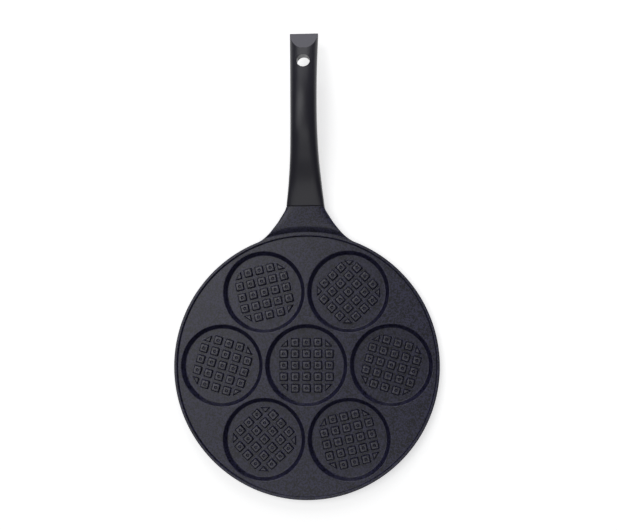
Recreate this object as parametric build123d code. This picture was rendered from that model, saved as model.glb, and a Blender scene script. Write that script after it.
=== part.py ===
from build123d import *
from math import cos, radians, sin
import os

os.makedirs("parts", exist_ok=True)

# Round casting: flat base at Z 0, flared wall, cooking face and raised rim
pan_radius = 132.5
wall_flare = 9.5
base_round = 1.5
floor_thickness = 4.0
shoulder_drop = 1.5
rim_rise = 2.2
rim_width = 2.5
rim_step = 1.2
rim_round = 0.7

# Seven round cups, one in the middle and six around it, that share the cooking face
cup_ring_count = 6
cup_depth = 6.0
cup_wall_run = 3.5
cup_lip_round = 0.8
land_to_rim = 3.2
land_between_cups = 2.9

# Square studs on each cup's floor, with a triangle at each corner of the grid
stud_rows = 5
stud_pitch = 11.45
stud_base = 8.6
stud_top = 6.6
stud_height = 3.0
stud_root = 1.0
ring_stud_turn = -16.8
dimple_width = 3.4
dimple_floor = 1.8
dimple_depth = 0.8

# Turned rings on the underside
groove_count = 9
groove_first_radius = 18.0
groove_edge_land = 9.0
groove_width = 1.2
groove_depth = 0.4

# Neck between the rim and the handle
neck_length = 26.0
neck_lip = 0.5
neck_blend_angle = 65.0
neck_waist_half_width = 33.6
neck_waist_out = 4.0
neck_foot_half_width = 43.4
neck_foot_in = 5.5
neck_ledge = 0.6
neck_bend_run = 1.8
neck_bend_rise = 0.8
neck_step_run = 4.6
neck_step_rise = 3.2
neck_slope_run = 12.0
neck_slope_rise = 5.5
neck_top_round = 1.0
neck_bottom_round = 4.2

# Handle, with its root against the neck
root_rise = 10.0
root_width = 38.0
root_thickness = 17.0
root_crown = 1.6
joint_gap = 0.4
handle_length = 172.2
handle_bottom_round = 4.8
handle_top_round = 2.0
tip_rise = 18.0
tip_width = 28.6
tip_thickness = 12.6
tip_crown = 3.4
end_flat_length = 15.5
end_flat_drop = 11.2
end_flat_below_top = 7.0
hang_radius = 6.5
hang_from_end = 31.3

# Sections along the handle: share of its length, top above the root's top, width, thickness, crown
handle_sections = (
    (0.0, 0.0, root_width, root_thickness, root_crown),
    (0.13, 7.2, 33.0, 19.0, 2.4),
    (0.275, 19.0, 28.8, 17.6, 3.4),
    (0.43, 29.0, 26.5, 15.6, 4.0),
    (0.605, 32.0, 25.8, 14.2, 4.0),
    (0.78, 28.4, 26.5, 13.6, 3.8),
    (1.0, tip_rise, tip_width, tip_thickness, tip_crown),
)

# Tang of the casting in the handle's socket, tilted with the handle
tang_slope = 18.0
tang_below_top = 7.4
tang_length = 34.0
tang_embed = 9.0
tang_width = 22.0
tang_thickness = 5.0
tang_end_round = 2.0
socket_clearance = 0.25
socket_end_gap = 1.0

# M5 screw with its two washers, from the handle's underside into the tang
screw_along = 16.0
screw_radius = 2.5
screw_clearance = 0.05
screw_hole_clearance = 0.25
screw_tip_inset = 0.45
head_radius = 4.75
head_height = 3.7
head_round = 2.0
recess_span = 5.0
recess_width = 1.3
recess_depth = 2.0
seat_wall = 3.0
seat_clearance = 0.6
washer_thickness = 1.0
washer_overhang = 0.25
spring_thickness = 1.2
spring_inset = 0.15
spring_slit = 0.8
spring_slit_angle = 25.0
washer_clearance = 0.15

# Values that follow from the ones above
plate_height = floor_thickness + cup_depth
rim_top = plate_height + rim_rise
shoulder_height = plate_height - shoulder_drop
rim_foot_radius = pan_radius - rim_width - rim_step
base_radius = pan_radius - wall_flare
cup_mouth_radius = (rim_foot_radius - land_to_rim - land_between_cups) / 3
cup_floor_radius = cup_mouth_radius - cup_wall_run
cup_pitch = 2 * cup_mouth_radius + land_between_cups
groove_pitch = (base_radius - groove_edge_land - groove_first_radius) / (groove_count - 1)
joint_y = pan_radius + neck_length
root_top = plate_height + root_rise
root_bottom = root_top - root_thickness
handle_start = joint_y + joint_gap
handle_end = handle_start + handle_length
hang_y = handle_end - hang_from_end
washer_radius = head_radius + washer_overhang
spring_radius = head_radius - spring_inset
seat_radius = washer_radius + seat_clearance
seat_level = -(tang_thickness / 2 + socket_clearance + seat_wall)
head_stack = washer_thickness + spring_thickness
screw_length = head_stack + seat_wall + socket_clearance + tang_thickness - screw_tip_inset

# Local plane of the tang: X runs along it and Z is square to its wide faces
slope = radians(tang_slope)
tang_plane = Plane(
    origin=(0, joint_y, root_top - tang_below_top),
    x_dir=(0, cos(slope), sin(slope)),
    z_dir=(0, -sin(slope), cos(slope)),
)
screw_plane = tang_plane * Pos(screw_along, 0, 0)

# Least difference between two lengths, and the ways a cylinder or box is placed
TINY = 1e-6
STANDING = (Align.CENTER, Align.CENTER, Align.MIN)
HANGING = (Align.CENTER, Align.CENTER, Align.MAX)
LYING = (Align.MIN, Align.CENTER, Align.CENTER)


def cup_centres():
    """Places of the seven cups, each with the turn of its stud grid."""
    places = [(0.0, 0.0, 0.0)]
    for i in range(cup_ring_count):
        angle = i * 360 / cup_ring_count
        x = cup_pitch * cos(radians(angle))
        y = cup_pitch * sin(radians(angle))
        places.append((x, y, angle + ring_stud_turn))
    return places


def make_blank():
    """The turned shape of the casting, with flared wall, rim and flat cooking face."""
    outline = make_face(Polyline(
        (0, 0),
        (base_radius, 0),
        (pan_radius, shoulder_height),
        (pan_radius, rim_top),
        (pan_radius - rim_width, rim_top),
        (rim_foot_radius, plate_height),
        (0, plate_height),
        close=True,
    ))
    corners = outline.vertices()
    outline = fillet([v for v in corners if abs(v.Y - rim_top) < TINY], rim_round)
    corners = outline.vertices()
    foot = [v for v in corners if abs(v.X - base_radius) < TINY]
    outline = fillet(foot, base_round)
    return revolve(Plane.XZ * outline, Axis.Z)


def make_cup_cutter():
    """The space of one cup, which tapers down to its floor."""
    space = Cone(cup_floor_radius, cup_mouth_radius, cup_depth, align=STANDING)
    return Pos(0, 0, floor_thickness) * space


def make_stud():
    """One square stud with a dimple in its top."""
    flare = (stud_base - stud_top) / stud_height
    root_width = stud_base + flare * stud_root
    body = loft([
        Plane.XY.offset(-stud_root) * Rectangle(root_width, root_width),
        Plane.XY.offset(stud_height) * Rectangle(stud_top, stud_top),
    ])
    dimple = Cone(dimple_floor / 2, dimple_width / 2, dimple_depth, align=STANDING)
    return body - Pos(0, 0, stud_height - dimple_depth) * dimple


def make_corner_stud():
    """A stud cut along its diagonal, with its square corner towards minus X, minus Y."""
    flare = (stud_base - stud_top) / stud_height
    root_width = stud_base + flare * stud_root
    sections = []
    for height, width in ((-stud_root, root_width), (stud_height, stud_top)):
        half = width / 2
        spare = (root_width - width) / 2
        triangle = make_face(Polyline(
            (-half, -half),
            (half - spare, -half),
            (-half, half - spare),
            close=True,
        ))
        sections.append(Plane.XY.offset(height) * triangle)
    return loft(sections)


def stud_grid():
    """All studs of one cup around its centre, on a floor at height 0."""
    stud = make_stud()
    corner = make_corner_stud()
    last = (stud_rows - 1) / 2
    studs = []
    for row in range(stud_rows):
        for column in range(stud_rows):
            x = (column - last) * stud_pitch
            y = (row - last) * stud_pitch
            if abs(row - last) < last or abs(column - last) < last:
                studs.append(Pos(x, y, 0) * stud)
    for quarter in range(4):
        corner_place = Pos(last * stud_pitch, last * stud_pitch, 0) * corner
        studs.append(Rot(0, 0, 90 * quarter) * corner_place)
    return studs


def make_groove(radius):
    """One shallow turned ring in the underside."""
    outer = Cylinder(radius + groove_width / 2, groove_depth, align=STANDING)
    inner = Cylinder(radius - groove_width / 2, groove_depth, align=STANDING)
    return outer - inner


def make_neck():
    """The neck, flared in plan. It steps up from the rim and rises to the handle."""
    angle = radians(neck_blend_angle)
    blend = (pan_radius * cos(angle), pan_radius * sin(angle))
    neck_half_width = root_width / 2 + neck_lip
    flare = Spline(
        (neck_half_width, joint_y),
        (neck_waist_half_width, pan_radius + neck_waist_out),
        (neck_foot_half_width, pan_radius - neck_foot_in),
        blend,
        tangents=((0.5, -0.87), (sin(angle), -cos(angle))),
    )
    plan = make_face([
        flare,
        Line(blend, (0, blend[1])),
        Line((0, blend[1]), (0, joint_y)),
        Line((0, joint_y), (neck_half_width, joint_y)),
    ])
    plan += mirror(plan, Plane.YZ)
    slab = extrude(plan, 2 * root_top)
    inside = pan_radius - rim_width / 2
    hidden = blend[1] - neck_length
    ledge_end = pan_radius + neck_ledge
    outside = joint_y + neck_lip * 4
    rise = Spline(
        (ledge_end, rim_top),
        (ledge_end + neck_bend_run, rim_top + neck_bend_rise),
        (ledge_end + neck_step_run, rim_top + neck_step_rise),
        (ledge_end + neck_slope_run, rim_top + neck_slope_rise),
        (joint_y, root_top),
        tangents=((1, 0), (1, 0.16)),
    )
    profile = make_face([
        Line((inside, rim_top), (ledge_end, rim_top)),
        rise,
        Line((joint_y, root_top), (outside, root_top)),
        Line((outside, root_top), (outside, root_bottom)),
        Line((outside, root_bottom), (hidden, root_bottom)),
        Line((hidden, root_bottom), (hidden, shoulder_height)),
        Line((hidden, shoulder_height), (inside, shoulder_height)),
        Line((inside, shoulder_height), (inside, rim_top)),
    ])
    rising = revolve(Plane.XZ * profile, Axis.Z)
    neck = slab & rising
    flanks = [e for e in neck.edges() if runs_lengthways(e) and abs((e @ 0.5).X) > neck_half_width]
    neck = fillet([e for e in flanks if (e @ 0.5).Z > plate_height], neck_top_round)
    flanks = [e for e in neck.edges() if runs_lengthways(e)]
    return fillet([e for e in flanks if abs((e @ 0.5).Z - root_bottom) < TINY], neck_bottom_round)


def runs_lengthways(edge):
    """Whether an edge's two ends lie at different places along Y."""
    return abs((edge @ 0).Y - (edge @ 1).Y) > 1


def make_tang():
    """The flat tongue of the casting that the handle slides over."""
    length = tang_length + tang_embed
    tang = Box(length, tang_width, tang_thickness, align=LYING)
    corners = [e for e in tang.edges().filter_by(Axis.Z) if e.center().X > length / 2]
    tang = fillet(corners, tang_end_round)
    return tang_plane * Pos(-tang_embed, 0, 0) * tang


def make_pan_casting():
    """Plate, rim, cups, studs, neck and tang in one casting."""
    casting = make_blank()
    cutter = make_cup_cutter()
    casting -= [Pos(x, y, 0) * cutter for x, y, turn in cup_centres()]
    lips = [
        e for e in casting.edges().filter_by(GeomType.CIRCLE)
        if abs(e.radius - cup_mouth_radius) < TINY
    ]
    casting = fillet(lips, cup_lip_round)
    casting -= [make_groove(groove_first_radius + i * groove_pitch) for i in range(groove_count)]
    casting += make_neck()
    casting += make_tang()
    casting -= screw_plane * Cylinder(screw_radius + screw_clearance, 2 * tang_thickness)
    grid = stud_grid()
    studs = []
    for x, y, turn in cup_centres():
        place = Pos(x, y, floor_thickness) * Rot(0, 0, turn)
        studs.extend(place * stud for stud in grid)
    return casting.fuse(*studs)


def handle_section(section):
    """One upright cross-section of the handle, crowned on top."""
    share, rise, width, thickness, crown = section
    half = width / 2
    face = make_face([
        ThreePointArc((-half, -crown), (0, 0), (half, -crown)),
        Line((half, -crown), (half, -thickness)),
        Line((half, -thickness), (-half, -thickness)),
        Line((-half, -thickness), (-half, -crown)),
    ])
    low = [v for v in face.vertices() if v.Y < -thickness / 2]
    face = fillet(low, handle_bottom_round)
    high = [v for v in face.vertices() if abs(abs(v.X) - half) < TINY and v.Y > -thickness / 2]
    face = fillet(high, handle_top_round)
    place = Plane(
        origin=(0, handle_start + share * handle_length, root_top + rise),
        x_dir=(-1, 0, 0),
        z_dir=(0, 1, 0),
    )
    return place * face


def make_end_cutter():
    """The space above the slanted flat at the handle's end."""
    low = Vector(handle_end, root_top + tip_rise - end_flat_below_top)
    high = Vector(handle_end - end_flat_length, low.Y + end_flat_drop)
    run_on = low - high
    upwards = Vector(0, root_top)
    side = make_face(Polyline(
        high - run_on,
        low + run_on,
        low + run_on + upwards * 2,
        high - run_on + upwards,
        close=True,
    ))
    return extrude(Plane.YZ * side, tip_width, both=True)


def make_handle():
    """The handle, arched along its length, with socket, screw seat and hanging hole."""
    handle = loft([handle_section(section) for section in handle_sections])
    handle -= make_end_cutter()
    socket = Box(
        tang_length + socket_end_gap + tang_embed,
        tang_width + 2 * socket_clearance,
        tang_thickness + 2 * socket_clearance,
        align=LYING,
    )
    handle -= tang_plane * Pos(-tang_embed, 0, 0) * socket
    shank_radius = screw_radius + screw_hole_clearance
    handle -= screw_plane * Cylinder(shank_radius, root_thickness, align=HANGING)
    seat = Cylinder(seat_radius, root_thickness, align=HANGING)
    handle -= screw_plane * Pos(0, 0, seat_level) * seat
    hole = Cylinder(hang_radius, 4 * root_thickness)
    handle -= Pos(0, hang_y, root_top) * hole
    return handle


def make_flat_washer():
    """Plain washer on the screw seat."""
    washer = Cylinder(washer_radius, washer_thickness, align=HANGING)
    washer -= Cylinder(screw_radius + washer_clearance, 4 * washer_thickness)
    return screw_plane * Pos(0, 0, seat_level) * washer


def make_spring_washer():
    """Split washer, pressed flat, with its slanting slit."""
    ring = Cylinder(spring_radius, spring_thickness, align=HANGING)
    ring -= Cylinder(screw_radius + washer_clearance, 4 * spring_thickness)
    slit = Box(2 * spring_radius, spring_slit, 4 * spring_thickness, align=LYING)
    ring -= Rot(spring_slit_angle, 0, 0) * slit
    return screw_plane * Pos(0, 0, seat_level - washer_thickness) * ring


def make_screw():
    """Pan-head screw with a cross recess, its head downwards."""
    head = Cylinder(head_radius, head_height, align=HANGING)
    head = fillet(head.edges().sort_by(Axis.Z)[0], head_round)
    shank = Cylinder(screw_radius, screw_length, align=STANDING)
    screw = head + shank
    wing = Box(recess_span, recess_width, 2 * recess_depth)
    screw -= Pos(0, 0, -head_height) * (wing + Rot(0, 0, 90) * wing)
    return screw_plane * Pos(0, 0, seat_level - head_stack) * screw


export_step(make_pan_casting(), "parts/pan_casting.step")
export_step(make_handle(), "parts/handle.step")
export_step(make_flat_washer(), "parts/flat_washer.step")
export_step(make_spring_washer(), "parts/spring_washer.step")
export_step(make_screw(), "parts/handle_screw.step")
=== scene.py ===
import math

import bmesh
import bpy
from mathutils import Matrix, Vector


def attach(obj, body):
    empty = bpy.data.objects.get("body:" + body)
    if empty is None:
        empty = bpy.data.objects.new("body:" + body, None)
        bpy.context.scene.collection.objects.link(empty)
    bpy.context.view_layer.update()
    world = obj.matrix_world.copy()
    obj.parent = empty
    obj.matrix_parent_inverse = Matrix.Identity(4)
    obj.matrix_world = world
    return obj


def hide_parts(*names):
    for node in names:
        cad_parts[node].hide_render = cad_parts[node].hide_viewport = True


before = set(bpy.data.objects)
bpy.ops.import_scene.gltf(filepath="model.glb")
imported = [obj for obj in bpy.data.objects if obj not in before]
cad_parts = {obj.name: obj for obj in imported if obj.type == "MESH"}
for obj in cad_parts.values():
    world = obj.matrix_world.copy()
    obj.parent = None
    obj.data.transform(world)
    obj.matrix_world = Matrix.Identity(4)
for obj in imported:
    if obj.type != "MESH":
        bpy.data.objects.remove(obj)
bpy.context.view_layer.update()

# The round plate of the pan
# It is one aluminium die casting: a flat cooking face with seven round cups, inside a raised rim.
# Outside, its wall flares down to a base that is turned flat on a lathe and left bare.
MM = 0.001
pan_radius = 132.5 * MM
base_radius = 123.0 * MM
floor_height = 4.0 * MM
plate_height = 10.0 * MM
shoulder_height = 8.5 * MM
rim_top = 12.2 * MM
rim_crown_radius = 130.0 * MM
rim_foot_radius = 128.8 * MM
rim_round = 0.6 * MM
rim_foot_round = 0.35 * MM
shoulder_round = 2.0 * MM
base_round = 1.5 * MM
groove_count = 9
groove_first_radius = 18.0 * MM
groove_pitch = 12.0 * MM
groove_width = 1.2 * MM
groove_depth = 0.4 * MM
cup_count_round = 6
cup_pitch = 84.7 * MM
cup_mouth_radius = 40.9 * MM
cup_floor_radius = 37.4 * MM
cup_lip_round = 0.9 * MM
cup_floor_round = 1.2 * MM
stud_grid_turn = math.radians(-16.8)
plate_steps = 240
cup_steps = 96
corner_steps = 4
touching = 0.001 * MM
smooth_angle = math.radians(35)
coat_dark = (0.0003, 0.0002, 0.0040, 1)
coat_light = (0.0265, 0.0255, 0.0640, 1)
coat_grain = 640.0
coat_patches = 60.0
coat_patch_share = 0.12
coat_speckle = 0.40
coat_roughness = (0.27, 0.39)
coat_bump = 0.6
coat_bump_depth = 0.20 * MM
bare_dark = (0.42, 0.42, 0.43, 1)
bare_light = (0.62, 0.62, 0.63, 1)
bare_grain = 500.0
bare_patches = 30.0
bare_patch_share = 0.6
bare_roughness = 0.38
tool_ring_scale = 700.0
tool_ring_distortion = 0.3
tool_ring_bump = 0.25
tool_ring_depth = 0.05 * MM
grain_detail = 3.0
grain_fineness = 0.65
grain_low = 0.28
grain_high = 0.72
patch_detail = 4.0
patch_fineness = 0.55


def add_node(material, kind, place, **settings):
    """A shader node of this kind at a place in the material's node view."""
    node = material.node_tree.nodes.new(kind)
    node.location = place
    for name, value in settings.items():
        setattr(node, name, value)
    return node


def new_material(name):
    """An empty material with its Principled shader, and the links to wire it."""
    material = bpy.data.materials.new(name)
    material.use_nodes = True
    shader = material.node_tree.nodes["Principled BSDF"]
    return material, shader, material.node_tree.links


def make_grain_group():
    """Fine grain for cast, coated and moulded surfaces: a tone and a height from noise."""
    group = bpy.data.node_groups.new("fine_grain", "ShaderNodeTree")
    group.interface.new_socket("Vector", in_out="INPUT", socket_type="NodeSocketVector")
    group.interface.new_socket("Grain Scale", in_out="INPUT", socket_type="NodeSocketFloat")
    group.interface.new_socket("Patch Scale", in_out="INPUT", socket_type="NodeSocketFloat")
    group.interface.new_socket("Patch Share", in_out="INPUT", socket_type="NodeSocketFloat")
    group.interface.new_socket("Tone", in_out="OUTPUT", socket_type="NodeSocketFloat")
    group.interface.new_socket("Height", in_out="OUTPUT", socket_type="NodeSocketFloat")
    entry = group.nodes.new("NodeGroupInput")
    leave = group.nodes.new("NodeGroupOutput")
    grain = group.nodes.new("ShaderNodeTexNoise")
    grain.inputs["Detail"].default_value = grain_detail
    grain.inputs["Roughness"].default_value = grain_fineness
    patches = group.nodes.new("ShaderNodeTexNoise")
    patches.inputs["Detail"].default_value = patch_detail
    patches.inputs["Roughness"].default_value = patch_fineness
    spread = group.nodes.new("ShaderNodeMapRange")
    spread.inputs["From Min"].default_value = grain_low
    spread.inputs["From Max"].default_value = grain_high
    blend = group.nodes.new("ShaderNodeMix")
    link = group.links.new
    link(entry.outputs["Vector"], grain.inputs["Vector"])
    link(entry.outputs["Grain Scale"], grain.inputs["Scale"])
    link(entry.outputs["Vector"], patches.inputs["Vector"])
    link(entry.outputs["Patch Scale"], patches.inputs["Scale"])
    link(grain.outputs["Fac"], spread.inputs["Value"])
    link(entry.outputs["Patch Share"], blend.inputs["Factor"])
    link(spread.outputs["Result"], blend.inputs["A"])
    link(patches.outputs["Fac"], blend.inputs["B"])
    link(blend.outputs["Result"], leave.inputs["Tone"])
    link(grain.outputs["Fac"], leave.inputs["Height"])
    return group


grain_group = make_grain_group()


def add_grain(material, grain_scale, patch_scale, patch_share):
    """The grain group in a material, fed by the piece's own coordinates."""
    coordinates = add_node(material, "ShaderNodeTexCoord", (-1100, 0))
    grain = add_node(material, "ShaderNodeGroup", (-900, 0), node_tree=grain_group)
    grain.inputs["Grain Scale"].default_value = grain_scale
    grain.inputs["Patch Scale"].default_value = patch_scale
    grain.inputs["Patch Share"].default_value = patch_share
    material.node_tree.links.new(coordinates.outputs["Object"], grain.inputs["Vector"])
    return grain


def tone_ramp(material, grain, dark, light, margin=0.0):
    """A colour between dark and light, by the grain's tone. A margin cuts the tone's ends off."""
    ramp = add_node(material, "ShaderNodeValToRGB", (-600, 200))
    ramp.color_ramp.elements[0].color = dark
    ramp.color_ramp.elements[1].color = light
    ramp.color_ramp.elements[0].position = margin
    ramp.color_ramp.elements[1].position = 1 - margin
    material.node_tree.links.new(grain.outputs["Tone"], ramp.inputs["Fac"])
    return ramp


def roughness_range(material, grain, ends):
    """A roughness between two ends, by the grain's tone."""
    roughness = add_node(material, "ShaderNodeMapRange", (-600, -100))
    roughness.inputs["To Min"].default_value = ends[0]
    roughness.inputs["To Max"].default_value = ends[1]
    material.node_tree.links.new(grain.outputs["Tone"], roughness.inputs["Value"])
    return roughness


def grain_bump(material, grain, strength, depth):
    """A bump from the grain's height."""
    bump = add_node(material, "ShaderNodeBump", (-300, -300))
    bump.inputs["Strength"].default_value = strength
    bump.inputs["Distance"].default_value = depth
    material.node_tree.links.new(grain.outputs["Height"], bump.inputs["Height"])
    return bump


def make_coat(name, dark, light):
    """Dark non-stick coat, sprayed and baked: fine speckle over a satin film."""
    material, shader, links = new_material(name)
    grain = add_grain(material, coat_grain, coat_patches, coat_patch_share)
    ramp = tone_ramp(material, grain, dark, light, coat_speckle)
    links.new(ramp.outputs["Color"], shader.inputs["Base Color"])
    roughness = roughness_range(material, grain, coat_roughness)
    links.new(roughness.outputs["Result"], shader.inputs["Roughness"])
    bump = grain_bump(material, grain, coat_bump, coat_bump_depth)
    links.new(bump.outputs["Normal"], shader.inputs["Normal"])
    return material


def make_bare_base():
    """Bare aluminium of the turned base, with the fine rings that the cutting tool leaves."""
    material, shader, links = new_material("turned_aluminium")
    grain = add_grain(material, bare_grain, bare_patches, bare_patch_share)
    ramp = tone_ramp(material, grain, bare_dark, bare_light)
    links.new(ramp.outputs["Color"], shader.inputs["Base Color"])
    shader.inputs["Metallic"].default_value = 1.0
    shader.inputs["Roughness"].default_value = bare_roughness
    coordinates = add_node(material, "ShaderNodeTexCoord", (-1100, -500))
    rings = add_node(material, "ShaderNodeTexWave", (-700, -500), wave_type="RINGS", rings_direction="Z")
    rings.inputs["Scale"].default_value = tool_ring_scale
    rings.inputs["Distortion"].default_value = tool_ring_distortion
    links.new(coordinates.outputs["Object"], rings.inputs["Vector"])
    bump = add_node(material, "ShaderNodeBump", (-300, -500))
    bump.inputs["Strength"].default_value = tool_ring_bump
    bump.inputs["Distance"].default_value = tool_ring_depth
    links.new(rings.outputs["Fac"], bump.inputs["Height"])
    links.new(bump.outputs["Normal"], shader.inputs["Normal"])
    return material


def rounded(corners):
    """A line through corners of radial place, height and corner radius, with the corners rounded."""
    line = []
    for i, (place, height, radius) in enumerate(corners):
        corner = Vector((place, height, 0))
        if radius == 0:
            line.append(corner)
            continue
        before = (Vector((*corners[i - 1][:2], 0)) - corner).normalized()
        after = (Vector((*corners[i + 1][:2], 0)) - corner).normalized()
        half_angle = before.angle(after) / 2
        centre = corner + (before + after).normalized() * radius / math.sin(half_angle)
        reach = radius / math.tan(half_angle)
        start = corner + before * reach - centre
        end = corner + after * reach - centre
        for step in range(corner_steps + 1):
            line.append(centre + start.slerp(end, step / corner_steps).normalized() * radius)
    return line


def spin_profile(bm, line, centre, steps):
    """A line of radial places and heights, turned once round an upright axis."""
    verts = [bm.verts.new((centre[0] + point.x, centre[1], point.y)) for point in line]
    edges = [bm.edges.new(pair) for pair in zip(verts, verts[1:])]
    bmesh.ops.spin(
        bm,
        geom=verts + edges,
        cent=(centre[0], centre[1], 0),
        axis=(0, 0, 1),
        angle=math.tau,
        steps=steps,
        use_merge=True,
    )


def cup_places():
    """Centre and stud turn of each cup: one in the middle and six around it."""
    places = [(0.0, 0.0, 0.0)]
    for i in range(cup_count_round):
        angle = math.tau * i / cup_count_round
        places.append((cup_pitch * math.cos(angle), cup_pitch * math.sin(angle), angle + stud_grid_turn))
    return places


def finish_mesh(bm, name, material):
    """A piece from a bmesh: merged, facing outwards and shaded smooth but for its sharp edges."""
    bmesh.ops.remove_doubles(bm, verts=bm.verts, dist=touching)
    bmesh.ops.recalc_face_normals(bm, faces=bm.faces)
    mesh = bpy.data.meshes.new(name)
    bm.to_mesh(mesh)
    bm.free()
    mesh.shade_smooth()
    mesh.set_sharp_from_angle(angle=smooth_angle)
    mesh.materials.append(material)
    piece = bpy.data.objects.new(name, mesh)
    bpy.context.scene.collection.objects.link(piece)
    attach(piece, "root")
    return piece


def even_shading(piece):
    """Keeps large flat faces flat beside small rounded edges."""
    modifier = piece.modifiers.new("even_shading", "WEIGHTED_NORMAL")
    modifier.keep_sharp = True


def make_plate(coat, bare):
    """Rim, wall and turned base spun round the pan's axis, the cups round theirs, and the face between."""
    bm = bmesh.new()
    outline = [
        (rim_foot_radius - rim_foot_round, plate_height, 0),
        (rim_foot_radius, plate_height, rim_foot_round),
        (rim_crown_radius, rim_top, rim_round),
        (pan_radius, rim_top, rim_round),
        (pan_radius, shoulder_height, shoulder_round),
        (base_radius, 0, base_round),
    ]
    for i in reversed(range(groove_count)):
        radius = groove_first_radius + i * groove_pitch
        outline.append((radius + groove_width / 2, 0, 0))
        outline.append((radius + groove_width / 2 - groove_depth / 2, groove_depth, 0))
        outline.append((radius - groove_width / 2 + groove_depth / 2, groove_depth, 0))
        outline.append((radius - groove_width / 2, 0, 0))
    outline.append((0, 0, 0))
    spin_profile(bm, rounded(outline), (0, 0), plate_steps)
    cup_outline = [
        (cup_mouth_radius + cup_lip_round, plate_height, 0),
        (cup_mouth_radius, plate_height, cup_lip_round),
        (cup_floor_radius, floor_height, cup_floor_round),
        (0, floor_height, 0),
    ]
    for x, y, turn in cup_places():
        spin_profile(bm, rounded(cup_outline), (x, y), cup_steps)
    bmesh.ops.remove_doubles(bm, verts=bm.verts, dist=touching)
    open_edges = [edge for edge in bm.edges if len(edge.link_faces) == 1]
    bmesh.ops.triangle_fill(bm, use_beauty=True, edges=open_edges, normal=(0, 0, 1))
    for face in bm.faces:
        centre = face.calc_center_median()
        if centre.z < groove_depth + touching and centre.xy.length < base_radius - base_round:
            face.material_index = 1
    plate = finish_mesh(bm, "pan_plate", coat)
    plate.data.materials.append(bare)
    even_shading(plate)
    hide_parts("pan_casting")


coat = make_coat("non_stick_coat", coat_dark, coat_light)
make_plate(coat, make_bare_base())

# The studs in the cups
# They are cast with the plate: a grid of square pegs with sloping sides and a small dimple on top.
# At each corner of a grid only half a stud is left, cut along its diagonal to follow the cup's wall.
stud_rows = 5
stud_pitch = 11.45 * MM
stud_base = 8.8 * MM
stud_top = 6.8 * MM
stud_height = 3.0 * MM
stud_sunk = 0.2 * MM
stud_corner_round = 1.0 * MM
stud_edge_round = 0.2 * MM
stud_steps = 16
dimple_width = 3.3 * MM
dimple_floor = 1.6 * MM
dimple_depth = 1.1 * MM
half_stud_cut = 0.45 * MM
# Colours for the studs' flat tops: a painted highlight, paler than the coat, standing in for the light the
# tops catch.
painted_highlight_dark = (0.0150, 0.0140, 0.0200, 1)
painted_highlight_light = (0.0500, 0.0480, 0.0700, 1)


def square_ring(ring, half):
    """Moves a spun ring of corners onto a square with rounded corners, a quarter at a time."""
    inner = half - stud_corner_round
    bend = inner + stud_corner_round * math.sqrt(0.5)
    quarter = ((half, 0), (half, inner), (bend, bend), (inner, half))
    for vert in ring:
        step = round(math.atan2(vert.co.y, vert.co.x) / math.tau * stud_steps) % stud_steps
        x, y = quarter[step % len(quarter)]
        turn = Matrix.Rotation(math.pi / 2 * (step // len(quarter)), 3, "Z")
        vert.co = turn @ Vector((x, y, vert.co.z))


def make_whole_stud():
    """One stud with its round dimple, spun and then squared outside the dimple."""
    slope = (stud_base - stud_top) / 2 / stud_height
    line = [
        Vector((dimple_floor / 2, stud_height - dimple_depth, 0)),
        Vector((dimple_width / 2, stud_height, 0)),
        Vector((stud_top / 2 - stud_edge_round, stud_height, 0)),
        Vector((stud_top / 2 + slope * stud_edge_round, stud_height - stud_edge_round, 0)),
        Vector((stud_base / 2 + slope * stud_sunk, -stud_sunk, 0)),
    ]
    bm = bmesh.new()
    spin_profile(bm, line, (0, 0), stud_steps)
    for point in line[2:]:
        ring = [vert for vert in bm.verts if abs(vert.co.xy.length - point.x) < touching]
        square_ring([vert for vert in ring if abs(vert.co.z - point.y) < touching], point.x)
    bmesh.ops.holes_fill(bm, edges=bm.edges)
    return bm


def make_half_stud():
    """The half of a stud towards minus X and Y, cut along its diagonal."""
    bm = bmesh.new()
    bmesh.ops.create_cube(bm, size=1.0)
    bmesh.ops.scale(bm, vec=(stud_base, stud_base, stud_height + stud_sunk), verts=bm.verts)
    bmesh.ops.translate(bm, vec=(0, 0, (stud_height - stud_sunk) / 2), verts=bm.verts)
    narrow = stud_top / stud_base
    upper = [vert for vert in bm.verts if vert.co.z > stud_height / 2]
    bmesh.ops.scale(bm, vec=(narrow, narrow, 1), verts=upper)
    slant = (stud_base - stud_top) / stud_height / math.sqrt(2)
    everything = bm.verts[:] + bm.edges[:] + bm.faces[:]
    bmesh.ops.bisect_plane(bm, geom=everything, plane_co=(-half_stud_cut, -half_stud_cut, 0),
                           plane_no=(1, 1, slant), clear_outer=True)
    bmesh.ops.holes_fill(bm, edges=bm.edges)
    bm.normal_update()
    upright = [
        edge for edge in bm.edges
        if abs(edge.verts[0].co.z - edge.verts[1].co.z) > stud_height / 2
    ]
    bmesh.ops.bevel(bm, geom=upright, offset=stud_corner_round / 2, segments=2, profile=0.5,
                    affect="EDGES", material=-1, clamp_overlap=True)
    bm.normal_update()
    top = max(bm.faces, key=lambda face: face.calc_center_median().z)
    bmesh.ops.bevel(bm, geom=top.edges[:], offset=stud_edge_round, segments=2, profile=0.5,
                    affect="EDGES", material=-1, clamp_overlap=True)
    return bm


def keep_mesh(bm):
    """A mesh from a bmesh, to be copied into a larger piece."""
    bmesh.ops.recalc_face_normals(bm, faces=bm.faces)
    mesh = bpy.data.meshes.new("stud")
    bm.to_mesh(mesh)
    bm.free()
    return mesh


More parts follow.
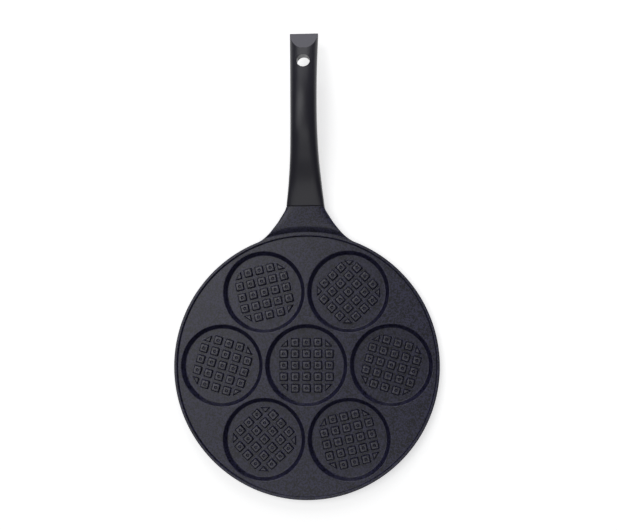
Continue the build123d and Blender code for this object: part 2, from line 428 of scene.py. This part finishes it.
def make_studs(coat, painted_highlight):
    """Every stud of the seven cups, as one piece, with its flat top painted paler: a painted highlight for
    the light the tops catch above the shaded cup floors.
    """
    whole = keep_mesh(make_whole_stud())
    half = keep_mesh(make_half_stud())
    last = (stud_rows - 1) / 2
    spots = []
    for row in range(stud_rows):
        for column in range(stud_rows):
            across = column - last
            up = row - last
            at_corner = abs(across) == last and abs(up) == last
            corner_turn = math.atan2(up, across) - math.pi / 4 if at_corner else 0
            mesh = half if at_corner else whole
            spots.append((across * stud_pitch, up * stud_pitch, corner_turn, mesh))
    bm = bmesh.new()
    for x, y, turn in cup_places():
        cup = Matrix.Translation((x, y, floor_height)) @ Matrix.Rotation(turn, 4, "Z")
        for across, up, corner_turn, mesh in spots:
            first = len(bm.verts)
            bm.from_mesh(mesh)
            place = cup @ Matrix.Translation((across, up, 0)) @ Matrix.Rotation(corner_turn, 4, "Z")
            bmesh.ops.transform(bm, matrix=place, verts=bm.verts[first:])
    studs = finish_mesh(bm, "cup_studs", coat)
    studs.data.materials.append(painted_highlight)
    # The flat tops take the painted highlight, a paler coat standing in for the light they catch.
    for face in studs.data.polygons:
        if face.center.z > floor_height + stud_height - touching:
            face.material_index = 1
    even_shading(studs)
    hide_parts("pan_casting")


make_studs(coat, make_coat("painted_highlight_coat", painted_highlight_dark, painted_highlight_light))

# The neck
# It is part of the same casting: it leaves the wall behind the rim, rises and narrows to the handle.
# It starts flush with the rim's top and steps up behind it. Its end is cut square for the handle.
joint_y = 158.5 * MM
neck_start = 130.9 * MM
neck_hidden_y = 116.0 * MM
neck_hidden_height = 8.0 * MM
neck_blend_half = 56.0 * MM
neck_bottoms = ((19, 3.0), (33, 3.0), (40, 3.9), (48, 5.6), (56, 7.2))
neck_widths = (
    (112, 70.6), (115, 65.3), (118, 59.6), (121, 53.3), (124, 47.2), (127, 42.5),
    (130, 38.8), (133, 35.7), (137, 32.4), (140, 30.0), (143, 27.8), (146, 25.9),
    (149, 24.0), (152, 22.1), (155, 20.4), (158.5, 19.1),
)
neck_tops = (
    (130, 11.7), (131.2, 12.0), (132.2, 12.18), (133.3, 12.2), (133.8, 12.5),
    (134.6, 13.5), (135.6, 14.5), (137, 15.6), (139, 16.6), (142, 17.4),
    (145, 17.95), (150, 18.7), (158.5, 20.0),
)
neck_shoulders = ((130, 1.6), (134, 1.8), (140, 2.6), (145, 3.4), (158.5, 5.5))
neck_squareness = 5.0
neck_rows = 64
neck_hidden_rows = 2
neck_width_rounds = 40
neck_end_round = 0.4 * MM
neck_bottom_round = 4.0 * MM
neck_thinnest = 2.5 * MM
inner_cells = 6
shoulder_cells = 9
side_cells = 2
bottom_cells = 6


def smooth_through(stations, place):
    """The value at a place on a smooth curve through stations of place and value."""
    last = len(stations) - 1
    i = max(k for k in range(last) if place >= stations[k][0] or k == 0)
    (x0, y0), (x1, y1) = stations[i], stations[i + 1]
    before = stations[max(i - 1, 0)]
    after = stations[min(i + 2, last)]
    rise0 = (y1 - before[1]) / (x1 - before[0])
    rise1 = (after[1] - y0) / (after[0] - x0)
    length = x1 - x0
    t = (place - x0) / length
    return (
        y0 * (1 + 2 * t) * (1 - t) ** 2
        + y1 * t * t * (3 - 2 * t)
        + rise0 * length * t * (1 - t) ** 2
        - rise1 * length * t * t * (1 - t)
    )


def top_drop(across, half, shoulder, squareness):
    """How far a rounded top lies below its middle at a place across."""
    return shoulder * (1 - (1 - (across / half) ** squareness) ** (1 / squareness))


def section_points(half, thickness, shoulder, squareness, bottom_round):
    """Points round one cross-section from its top middle, as place across and depth below the top.
    The top falls by the shoulder to upright sides, and a higher squareness keeps it flatter."""
    inner = [half * i / (2 * inner_cells) for i in range(inner_cells + 1)]
    points = [(across, top_drop(across, half, shoulder, squareness)) for across in inner]
    first_turn = math.asin(0.5 ** (squareness / 2))
    for i in range(1, shoulder_cells + 1):
        turn = first_turn + (math.pi / 2 - first_turn) * i / shoulder_cells
        across = half * math.sin(turn) ** (2 / squareness)
        points.append((across, shoulder * (1 - max(math.cos(turn), 0) ** (2 / squareness))))
    low = thickness - bottom_round
    points += [(half, shoulder + (low - shoulder) * i / side_cells) for i in range(1, side_cells + 1)]
    for i in range(1, bottom_cells + 1):
        turn = math.pi / 2 * i / bottom_cells
        points.append((half - bottom_round * (1 - math.cos(turn)), low + bottom_round * math.sin(turn)))
    flat = half - bottom_round
    points += [(flat + (half / 2 - flat) * i / side_cells, thickness) for i in range(1, side_cells + 1)]
    points += [(across, thickness) for across in reversed(inner[:-1])]
    return points


def bend_grid(rows, shape):
    """A grid of faces bent round a section. Shape gives the points of one row, on the plus X side."""
    columns = len(shape(0)) - 1
    bm = bmesh.new()
    bmesh.ops.create_grid(bm, x_segments=2 * columns, y_segments=rows, size=1.0)
    lines = [shape(row) for row in range(rows + 1)]
    spots = {}
    for vert in bm.verts:
        column = round((vert.co.x + 1) * columns) - columns
        row = round((vert.co.y + 1) / 2 * rows)
        point = lines[row][abs(column)]
        vert.co = (point[0] if column >= 0 else -point[0], point[1], point[2])
        spots[column, row] = vert
    return bm, spots


def neck_row(row):
    """The points of one row of the neck. The rows run round the pan at its rim and straight at the joint.
    The first two rows are hidden in the plate. A row's half width and its place depend on each other,
    so they are worked out in rounds."""
    share = max(row - neck_hidden_rows, 0) / (neck_rows - neck_hidden_rows)
    reach = neck_start + (joint_y - neck_start) * share
    straightness = share ** 2

    def place_at(across):
        if row == 0:
            return neck_hidden_y
        sag = reach - math.sqrt(reach ** 2 - across ** 2)
        return reach - sag * (1 - straightness)

    half = neck_widths[-1][1] * MM
    for attempt in range(neck_width_rounds):
        flare = smooth_through(neck_widths, place_at(half) / MM) * MM
        half = min((half + flare) / 2, neck_blend_half)
    hidden = row < neck_hidden_rows
    top = neck_hidden_height if hidden else smooth_through(neck_tops, reach / MM) * MM
    thickness = max(top - smooth_through(neck_bottoms, half / MM) * MM, neck_thinnest)
    shoulder = min(smooth_through(neck_shoulders, reach / MM) * MM, thickness / 3)
    bottom_round = min(neck_bottom_round, thickness / 2)
    points = section_points(half, thickness, shoulder, neck_squareness, bottom_round)
    return [(across, place_at(across), top - drop) for across, drop in points]


def make_neck(coat):
    """The neck as a grid bent round its sections, closed at both ends."""
    bm, spots = bend_grid(neck_rows, neck_row)
    bmesh.ops.remove_doubles(bm, verts=bm.verts, dist=touching)
    bmesh.ops.holes_fill(bm, edges=bm.edges)
    bmesh.ops.recalc_face_normals(bm, faces=bm.faces)
    end = [
        edge for edge in bm.edges
        if all(abs(vert.co.y - joint_y) < touching for vert in edge.verts)
    ]
    bmesh.ops.bevel(bm, geom=end, offset=neck_end_round, segments=3, profile=0.5,
                    affect="EDGES", material=-1, clamp_overlap=True)
    neck = finish_mesh(bm, "pan_neck", coat)
    even_shading(neck)
    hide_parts("pan_casting")


make_neck(coat)

# The tang
# A flat tongue of the same casting, which the handle slides over and the screw holds from below.
# Only a sliver of it shows, in the thin gap between the neck and the handle.
tang_slope = math.radians(18.0)
tang_origin = Vector((0, joint_y, 12.6 * MM))
tang_length = 34.0 * MM
tang_embed = 9.0 * MM
tang_width = 22.0 * MM
tang_thickness = 5.0 * MM
tang_edge_round = 0.6 * MM
tang_plane = Matrix.Translation(tang_origin) @ Matrix.Rotation(tang_slope, 4, "X")


def make_tang(coat):
    """The tang as a flat bar with rounded edges."""
    bm = bmesh.new()
    bmesh.ops.create_cube(bm, size=1.0)
    bmesh.ops.scale(bm, vec=(tang_width, tang_length + tang_embed, tang_thickness), verts=bm.verts)
    bmesh.ops.translate(bm, vec=(0, (tang_length - tang_embed) / 2, 0), verts=bm.verts)
    bmesh.ops.bevel(bm, geom=bm.edges[:], offset=tang_edge_round, segments=2, profile=0.5,
                    affect="EDGES", material=-1, clamp_overlap=True)
    bmesh.ops.transform(bm, matrix=tang_plane, verts=bm.verts)
    tang = finish_mesh(bm, "tang", coat)
    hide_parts("pan_casting")


make_tang(coat)

# The handle
# One solid moulding of dark phenolic plastic, arched along its length and crowned on top.
# It has a hanging hole, a slanted flat at its end, and below its root a round seat for the screw.
handle_start = 158.9 * MM
handle_end = 331.1 * MM
root_top = 20.0 * MM
handle_shares = (0.0, 0.13, 0.275, 0.43, 0.605, 0.78, 1.0)
handle_rises = (0.0, 7.2, 19.0, 29.0, 32.0, 28.4, 18.0)
handle_widths = (38.2, 33.0, 28.5, 26.4, 26.0, 26.6, 28.6)
handle_depths = (17.0, 19.0, 17.6, 15.6, 14.2, 13.6, 12.6)
handle_shoulders = (5.5, 7.3, 8.2, 8.5, 8.5, 8.4, 8.2)
handle_squareness = (4.2, 3.2, 2.6, 2.3, 2.2, 2.15, 2.1)
handle_bottom_round = 2.6 * MM
end_low_height = 31.0 * MM
end_flat_length = 15.5 * MM
end_flat_drop = 10.7 * MM
hang_y = 299.8 * MM
hang_radius = 6.5 * MM
hang_cells = 6
hang_edge_round = 0.4 * MM
seat_radius = 5.6 * MM
seat_cells = 4
seat_edge_round = 0.3 * MM
screw_along = 16.0 * MM
seat_level = -5.75 * MM
seat_search_step = 0.02 * MM
end_search_steps = 400
end_search_length = 1.1 * end_flat_length
hole_reach = 1.1 * hang_radius
seat_loop_reach = 1.1 * seat_radius
seat_edge_reach = 1.2 * seat_radius
handle_edge_round = 0.5 * MM
sharp_angle = math.radians(50)
crease_angle = math.radians(9)
opening_facing = 0.5
flat_facing = 0.3
flat_corners = 6
grid_corners = 4
root_rows = 8
middle_rows = 60
tip_rows = 12
phenolic_dark = (0.0090, 0.0084, 0.0150, 1)
phenolic_light = (0.0170, 0.0160, 0.0265, 1)
matt_dark = (0.080, 0.078, 0.098, 1)
matt_light = (0.110, 0.108, 0.132, 1)
phenolic_grain = 2200.0
phenolic_patches = 45.0
phenolic_patch_share = 0.75
phenolic_roughness = (0.28, 0.42)
phenolic_bump = 0.10
phenolic_bump_depth = 0.02 * MM
matt_grain = 1800.0
matt_patches = 120.0
matt_patch_share = 0.4
matt_roughness = 0.6
matt_bump = 0.3
matt_bump_depth = 0.03 * MM


def handle_value(values, y):
    """One size of the handle at a place along it."""
    share = (y - handle_start) / (handle_end - handle_start)
    return smooth_through(list(zip(handle_shares, values)), share) * MM


def handle_points(y):
    """The points of the handle's section at a place along it, with their heights."""
    half = handle_value(handle_widths, y) / 2
    top = root_top + handle_value(handle_rises, y)
    depth = handle_value(handle_depths, y)
    shoulder = handle_value(handle_shoulders, y)
    squareness = handle_value(handle_squareness, y) / MM
    points = section_points(half, depth, shoulder, squareness, handle_bottom_round)
    return [(across, y, top - drop) for across, drop in points]


def seat_centre_y():
    """Where the screw's slanting axis comes out of the handle's underside."""
    point = tang_plane @ Vector((0, screw_along, 0))
    down = tang_plane.to_3x3() @ Vector((0, 0, -1))
    while point.z > handle_points(point.y)[-1][2]:
        point += down * seat_search_step
    return point.y


seat_y = seat_centre_y()
seat_half_y = seat_radius * math.cos(tang_slope)


def row_places():
    """Places of the handle's rows: evenly spaced, and closer at the screw seat and the hanging hole."""
    marks = (
        (handle_start, seat_y - seat_half_y, root_rows),
        (seat_y - seat_half_y, seat_y + seat_half_y, 2 * seat_cells),
        (seat_y + seat_half_y, hang_y - hang_radius, middle_rows),
        (hang_y - hang_radius, hang_y + hang_radius, 2 * hang_cells),
    )
    places = [handle_start]
    for low, high, count in marks:
        places += [low + (high - low) * i / count for i in range(1, count + 1)]
    return places


handle_rows = row_places()
seat_row = root_rows + seat_cells
hang_row = len(handle_rows) - 1 - hang_cells


def slanted_flat(y):
    """Height of the slanted flat at the handle's end."""
    return end_low_height + (handle_end - y) * end_flat_drop / end_flat_length


def line_ends():
    """Where each lengthways line of the handle meets the slanted flat, or the end below it."""
    ends = [handle_end] * len(handle_points(handle_end))
    for step in range(end_search_steps):
        y = handle_end - end_search_length * step / end_search_steps
        for i, point in enumerate(handle_points(y)):
            if point[2] > slanted_flat(y):
                ends[i] = y
    return ends


def crease_line():
    """The lengthways line of the handle that ends at the low edge of the slanted flat."""
    heights = [point[2] for point in handle_points(handle_end)]
    return min(range(len(heights)), key=lambda i: abs(heights[i] - end_low_height))


end_crease = crease_line()
handle_line_ends = line_ends()
handle_line_ends[end_crease] = handle_end


def handle_row(row):
    """The points of one row. Past the hanging hole each line runs on to where the end cuts it."""
    if row < len(handle_rows):
        return handle_points(handle_rows[row])
    share = (row - len(handle_rows) + 1) / tip_rows
    start = handle_rows[-1]
    points = [
        handle_points(start + (end - start) * share)[i]
        for i, end in enumerate(handle_line_ends)
    ]
    if share == 1:
        points[end_crease] = (points[end_crease][0], handle_end, end_low_height)
    return points


def square_angle(i, j):
    """The angle on a circle for the place i, j on the border of a square block."""
    if abs(i) >= abs(j):
        angle = math.pi / 4 * (j / abs(i))
        return angle if i > 0 else math.pi - angle
    side = math.copysign(1, j)
    return math.pi / 4 * (2 * side - i * side / abs(j))


def round_block(spots, bottom, row, cells, centre_y, radius, squeeze):
    """Moves a block of the grid's corners onto a circle, on the top or the bottom of the handle."""
    columns = max(column for column, line in spots)
    for i in range(-cells, cells + 1):
        for j in range(-cells, cells + 1):
            if max(abs(i), abs(j)) < cells:
                continue
            angle = square_angle(i, j)
            across = radius * math.cos(angle)
            y = centre_y + radius * squeeze * math.sin(angle)
            points = handle_points(y)
            if bottom:
                column = columns - abs(i) if i >= 0 else abs(i) - columns
                height = points[-1][2]
            else:
                column = i
                half = handle_value(handle_widths, y) / 2
                shoulder = handle_value(handle_shoulders, y)
                squareness = handle_value(handle_squareness, y) / MM
                height = points[0][2] - top_drop(abs(across), half, shoulder, squareness)
            spots[column, row + j].co = (across, y, height)


def make_phenolic():
    """Dark phenolic plastic with a satin skin from the mould, rubbed a little by hands."""
    material, shader, links = new_material("phenolic")
    grain = add_grain(material, phenolic_grain, phenolic_patches, phenolic_patch_share)
    ramp = tone_ramp(material, grain, phenolic_dark, phenolic_light)
    links.new(ramp.outputs["Color"], shader.inputs["Base Color"])
    roughness = roughness_range(material, grain, phenolic_roughness)
    links.new(roughness.outputs["Result"], shader.inputs["Roughness"])
    bump = grain_bump(material, grain, phenolic_bump, phenolic_bump_depth)
    links.new(bump.outputs["Normal"], shader.inputs["Normal"])
    return material


def make_matt_phenolic():
    """The same plastic with a matt, paler face, as on the slanted flat."""
    material, shader, links = new_material("phenolic_matt")
    grain = add_grain(material, matt_grain, matt_patches, matt_patch_share)
    ramp = tone_ramp(material, grain, matt_dark, matt_light)
    links.new(ramp.outputs["Color"], shader.inputs["Base Color"])
    shader.inputs["Roughness"].default_value = matt_roughness
    bump = grain_bump(material, grain, matt_bump, matt_bump_depth)
    links.new(bump.outputs["Normal"], shader.inputs["Normal"])
    return material


def in_opening(face, centre_y, radius, squeeze):
    """Whether a face of the top or the underside lies inside a round opening."""
    middle = face.calc_center_median()
    away = math.hypot(middle.x, (middle.y - centre_y) / squeeze)
    return away < radius and abs(face.normal.z) > opening_facing


def near(edge, centre_y, reach):
    """Whether an edge starts within reach of a place along the handle."""
    return abs(edge.verts[0].co.y - centre_y) < reach


def cut_hole(bm):
    """The hanging hole, right through the handle."""
    hole = [face for face in bm.faces if in_opening(face, hang_y, hang_radius, 1)]
    bmesh.ops.delete(bm, geom=hole, context="FACES")
    loops = [edge for edge in bm.edges if edge.is_boundary and near(edge, hang_y, hole_reach)]
    bmesh.ops.bridge_loops(bm, edges=loops)


def cut_seat(bm):
    """The screw's round seat, sunk along the screw's axis to a flat floor."""
    seat = [
        face for face in bm.faces
        if in_opening(face, seat_y, seat_radius, math.cos(tang_slope)) and face.normal.z < 0
    ]
    bmesh.ops.delete(bm, geom=seat, context="FACES")
    loop = [edge for edge in bm.edges if edge.is_boundary and near(edge, seat_y, seat_loop_reach)]
    wall = bmesh.ops.extrude_edge_only(bm, edges=loop)["geom"]
    to_tang = tang_plane.inverted()
    for item in wall:
        if isinstance(item, bmesh.types.BMVert):
            spot = to_tang @ item.co
            spot.z = seat_level
            item.co = tang_plane @ spot
    floor_edges = [item for item in wall if isinstance(item, bmesh.types.BMEdge)]
    bmesh.ops.contextual_create(bm, geom=floor_edges)


def close_ends(bm):
    """The root's face, the slanted flat, which is matt, and the upright end below it."""
    end_edges = [edge for edge in bm.edges if edge.is_boundary and edge.verts[0].co.y > hang_y]
    root_edges = [edge for edge in bm.edges if edge.is_boundary and edge.verts[0].co.y < seat_y]
    bmesh.ops.contextual_create(bm, geom=root_edges)
    end = bmesh.ops.contextual_create(bm, geom=end_edges)["faces"][0]
    corners = [
        vert for vert in end.verts
        if abs(vert.co.y - handle_end) < touching and vert.co.z > end_low_height - handle_edge_round
    ]
    left = min(corners, key=lambda vert: (vert.co.x, -vert.co.z))
    right = max(corners, key=lambda vert: (vert.co.x, vert.co.z))
    bmesh.utils.face_split(end, left, right)
    bm.normal_update()
    for face in bm.faces:
        at_end = face.calc_center_median().y > handle_end - end_flat_length
        if at_end and len(face.verts) > flat_corners and face.normal.z > flat_facing:
            face.material_index = 1


def borders_end(edge):
    """Whether an edge borders the root's face, the slanted flat or the upright end."""
    counts = [len(face.verts) for face in edge.link_faces]
    return min(counts) < max(counts) or counts[0] > grid_corners


def round_edges(bm):
    """Small rounds on the edges of the seat, the hole and the two ends."""
    bmesh.ops.recalc_face_normals(bm, faces=bm.faces)
    bm.normal_update()
    sharp = [edge for edge in bm.edges if edge.calc_face_angle(0) > sharp_angle]
    seat_edges = [edge for edge in sharp if near(edge, seat_y, seat_edge_reach)]
    hole_edges = [edge for edge in sharp if near(edge, hang_y, hole_reach)]
    past_hole = hang_y + 1.5 * hang_radius
    end_edges = [
        edge for edge in bm.edges
        if edge.calc_face_angle(0) > crease_angle
        and (edge.verts[0].co.y > past_hole or edge.verts[1].co.y < handle_start + touching)
        and borders_end(edge)
    ]
    rounds = (
        (seat_edges, seat_edge_round),
        (hole_edges, hang_edge_round),
        (end_edges, handle_edge_round),
    )
    for edges, offset in rounds:
        alive = [edge for edge in edges if edge.is_valid]
        bmesh.ops.bevel(bm, geom=alive, offset=offset, segments=3, profile=0.5,
                        affect="EDGES", material=-1, clamp_overlap=True)


def make_handle(phenolic, matt):
    """The handle as a grid bent round its sections, with its hole, its seat and its two ends."""
    bm, spots = bend_grid(len(handle_rows) - 1 + tip_rows, handle_row)
    round_block(spots, False, hang_row, hang_cells, hang_y, hang_radius, 1)
    round_block(spots, True, hang_row, hang_cells, hang_y, hang_radius, 1)
    round_block(spots, True, seat_row, seat_cells, seat_y, seat_radius, math.cos(tang_slope))
    bmesh.ops.remove_doubles(bm, verts=bm.verts, dist=touching)
    bmesh.ops.recalc_face_normals(bm, faces=bm.faces)
    cut_hole(bm)
    cut_seat(bm)
    bmesh.ops.remove_doubles(bm, verts=bm.verts, dist=touching)
    close_ends(bm)
    round_edges(bm)
    handle = finish_mesh(bm, "handle_moulding", phenolic)
    handle.data.materials.append(matt)
    even_shading(handle)
    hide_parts("handle")


make_handle(make_phenolic(), make_matt_phenolic())

# The screw and its two washers
# An M5 pan-head screw of zinc-plated steel holds the handle on the tang from below.
# A split spring washer and a plain washer lie under its head.
steel_dark = (0.42, 0.42, 0.40, 1)
steel_light = (0.60, 0.60, 0.57, 1)
steel_grain = 1500.0
steel_patches = 300.0
steel_patch_share = 0.5
steel_roughness = 0.36
steel_bump = 0.2
steel_bump_depth = 0.02 * MM


def make_steel():
    """Zinc-plated steel, faintly mottled."""
    material, shader, links = new_material("zinc_plated_steel")
    grain = add_grain(material, steel_grain, steel_patches, steel_patch_share)
    ramp = tone_ramp(material, grain, steel_dark, steel_light)
    links.new(ramp.outputs["Color"], shader.inputs["Base Color"])
    shader.inputs["Metallic"].default_value = 1.0
    shader.inputs["Roughness"].default_value = steel_roughness
    bump = grain_bump(material, grain, steel_bump, steel_bump_depth)
    links.new(bump.outputs["Normal"], shader.inputs["Normal"])
    return material


steel = make_steel()
for name in ("handle_screw", "spring_washer", "flat_washer"):
    for material_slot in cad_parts[name].material_slots:
        material_slot.material = steel

# The floor
# A plain white sheet under the pan, wide enough to fill every view.
floor_size = 8.0
floor_colour = (0.90, 0.90, 0.90, 1)
floor_roughness = 0.9
floor_lift = 0.54
floor_lift_colour = (1, 1, 1, 1)


def make_floor():
    """The floor, brighter to the camera and in reflections than the lamps make it."""
    bm = bmesh.new()
    bmesh.ops.create_grid(bm, x_segments=1, y_segments=1, size=floor_size / 2)
    mesh = bpy.data.meshes.new("floor")
    bm.to_mesh(mesh)
    bm.free()
    material, shader, links = new_material("white_sheet")
    shader.inputs["Base Color"].default_value = floor_colour
    shader.inputs["Roughness"].default_value = floor_roughness
    shader.inputs["Specular IOR Level"].default_value = 0.0
    light_path = add_node(material, "ShaderNodeLightPath", (-600, -200))
    reflected = add_node(material, "ShaderNodeMath", (-600, -400), operation="ADD")
    links.new(light_path.outputs["Is Glossy Ray"], reflected.inputs[0])
    links.new(light_path.outputs["Is Transmission Ray"], reflected.inputs[1])
    seen = add_node(material, "ShaderNodeMath", (-450, -200), operation="ADD", use_clamp=True)
    links.new(light_path.outputs["Is Camera Ray"], seen.inputs[0])
    links.new(reflected.outputs["Value"], seen.inputs[1])
    lift = add_node(material, "ShaderNodeMath", (-300, -200), operation="MULTIPLY")
    lift.inputs[1].default_value = floor_lift
    links.new(seen.outputs["Value"], lift.inputs[0])
    shader.inputs["Emission Color"].default_value = floor_lift_colour
    links.new(lift.outputs["Value"], shader.inputs["Emission Strength"])
    mesh.materials.append(material)
    floor = bpy.data.objects.new("floor", mesh)
    bpy.context.scene.collection.objects.link(floor)


make_floor()

# The light
# A pale tent all round, with soft lamps above to the left, at the front and behind the handle.
tent_colour = (0.97, 0.98, 1.0, 1)
tent_strength = 0.17
backdrop_strength = 1.0
lamp_target = (0, 0.05, 0)
lamp_back_low_target = (0, 0.1, 0)
scene = bpy.context.scene


def make_tent():
    """An even pale world, white to the camera."""
    world = bpy.data.worlds.new("tent")
    world.use_nodes = True
    background = world.node_tree.nodes["Background"]
    background.inputs["Color"].default_value = tent_colour
    light_path = world.node_tree.nodes.new("ShaderNodeLightPath")
    strength = world.node_tree.nodes.new("ShaderNodeMapRange")
    strength.inputs["To Min"].default_value = tent_strength
    strength.inputs["To Max"].default_value = backdrop_strength
    world.node_tree.links.new(light_path.outputs["Is Camera Ray"], strength.inputs["Value"])
    world.node_tree.links.new(strength.outputs["Result"], background.inputs["Strength"])
    scene.world = world


def add_lamp(name, place, target, width, height, watts):
    """A soft rectangular lamp aimed at a point."""
    lamp = bpy.data.lights.new(name, "AREA")
    lamp.shape = "RECTANGLE"
    lamp.size = width
    lamp.size_y = height
    lamp.energy = watts
    item = bpy.data.objects.new(name, lamp)
    scene.collection.objects.link(item)
    item.location = place
    item.rotation_euler = (Vector(target) - Vector(place)).to_track_quat("-Z", "Y").to_euler()


make_tent()
add_lamp("lamp_left", (-0.95, 0.35, 2.3), lamp_target, 1.4, 1.4, 9.2)
add_lamp("lamp_left_back", (-0.55, 0.75, 2.4), lamp_target, 0.9, 0.9, 4.6)
add_lamp("lamp_front", (0.0, -0.95, 2.3), lamp_target, 1.6, 1.2, 6.6)
add_lamp("lamp_back", (-0.2, 1.95, 1.6), lamp_target, 1.8, 1.0, 10.5)
add_lamp("lamp_back_low", (0.0, 2.4, 0.7), lamp_back_low_target, 2.4, 1.0, 15.0)

# The camera
# It looks almost straight down on the pan from a little over a metre, as in the photograph.
camera_place = (0.0658, 0.0118, 1.1256)
camera_turn = (math.radians(-4.515), math.radians(-3.258), math.radians(0.20))
camera_sensor = 36.0
camera_lens = 65.16


def make_camera():
    """The camera, with its three turns taken one after another."""
    camera_data = bpy.data.cameras.new("camera")
    camera_data.sensor_width = camera_sensor
    camera_data.sensor_fit = "HORIZONTAL"
    camera_data.lens = camera_lens
    camera = bpy.data.objects.new("camera", camera_data)
    scene.collection.objects.link(camera)
    turn = (
        Matrix.Rotation(camera_turn[0], 3, "X")
        @ Matrix.Rotation(camera_turn[1], 3, "Y")
        @ Matrix.Rotation(camera_turn[2], 3, "Z")
    )
    camera.location = camera_place
    camera.rotation_euler = turn.transposed().to_euler()
    scene.camera = camera


make_camera()
scene.view_settings.view_transform = "Standard"
